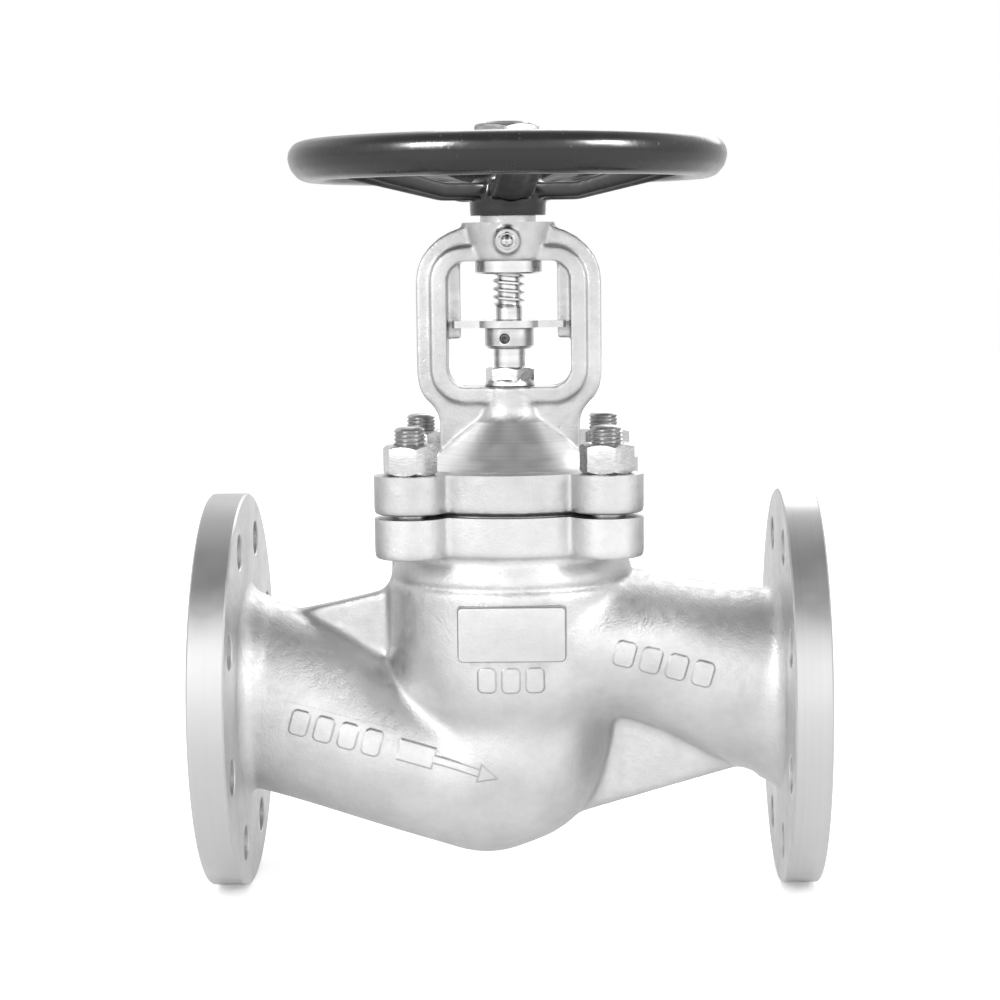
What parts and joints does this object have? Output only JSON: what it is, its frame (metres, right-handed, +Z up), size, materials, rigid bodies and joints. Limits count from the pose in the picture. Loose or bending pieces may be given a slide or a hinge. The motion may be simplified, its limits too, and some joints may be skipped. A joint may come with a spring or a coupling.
{
  "type": "globe valve",
  "caption": "Flanged bellows-seal globe valve with an S-shaped cast body, bolted yoke bonnet, rising stem and dished handwheel.",
  "frame": {"origin": "under the stem axis, level with the lowest point of the end flanges; the pipe axis is 100 mm above it", "axes": "+X along the pipe from inlet to outlet flange, +Z up along the stem to the handwheel"},
  "size_m": [0.31, 0.22, 0.386],
  "materials": {
    "cast_body": "bead-blasted stainless casting with turned flange rims",
    "cast_bonnet": "bead-blasted stainless casting with a turned cone",
    "turned_steel": "turned stainless steel",
    "fasteners": "bright stainless steel",
    "stem_steel": "ground and thread-cut stainless steel",
    "plate_steel": "laser-cut stainless plate, tumbled",
    "screw_steel": "dark oiled steel",
    "nipple_steel": "zinc-plated steel",
    "bellows_steel": "thin bright stainless sheet",
    "graphite": "pressed graphite",
    "bronze": "plain bearing bronze",
    "nut_bronze": "turned free-cutting stainless steel",
    "wheel_paint": "gloss black stove enamel on a casting"
  },
  "bodies": {
    "valve_body": {"body_bowl": "cast_body", "body_seat_wall": "cast_body", "body_chamber_front_in": "cast_body", "body_chamber_back_in": "cast_body", "body_chamber_front_out": "cast_body", "body_chamber_back_out": "cast_body", "body_inlet_leg": "cast_body", "body_inlet_flange": "cast_body", "body_outlet_leg": "cast_body", "body_outlet_flange": "cast_body", "body_joint_flange": "cast_body", "seat_ring": "turned_steel", "bonnet": "cast_bonnet", "bonnet_studs": "fasteners", "bonnet_nuts": "fasteners", "lower_gasket": "graphite", "upper_gasket": "graphite", "bellows_carrier": "turned_steel", "bellows": "bellows_steel", "packing_washer": "turned_steel", "packing_rings": "graphite", "packing_bush": "turned_steel", "gland_nut": "fasteners", "bearing_retainer": "turned_steel", "lower_thrust_washer": "bronze", "upper_thrust_washer": "bronze", "grease_nipple": "nipple_steel"},
    "spindle": {"stem": "stem_steel", "bellows_lower_ring": "turned_steel", "guide_plate": "plate_steel", "clamp_collar": "turned_steel", "collar_screw": "screw_steel"},
    "plug": {"disc": "turned_steel", "disc_nut": "turned_steel"},
    "wheel": {"stem_nut": "nut_bronze", "handwheel": "wheel_paint", "wheel_key": "turned_steel", "wheel_washer": "fasteners", "wheel_nut": "fasteners"}
  },
  "joints": [
    {"name": "handwheel_turn", "type": "hinge", "parent": "valve_body", "child": "wheel", "pos_m": [0, 0, 0.3], "axis": [0, 0, 1], "range_deg": [0, 1800]},
    {"name": "stem_lift", "type": "slide", "parent": "valve_body", "child": "spindle", "axis": [0, 0, 1], "range_m": [0, 0.02], "deforming": ["bellows"]},
    {"name": "disc_swivel", "type": "hinge", "parent": "spindle", "child": "plug", "pos_m": [0, 0, 0.12], "axis": [0, 0, 1], "continuous": true}
  ],
  "couplings": [
    {"joint": "stem_lift", "follows": "handwheel_turn", "m_per_rad": 0.00063662}
  ]
}
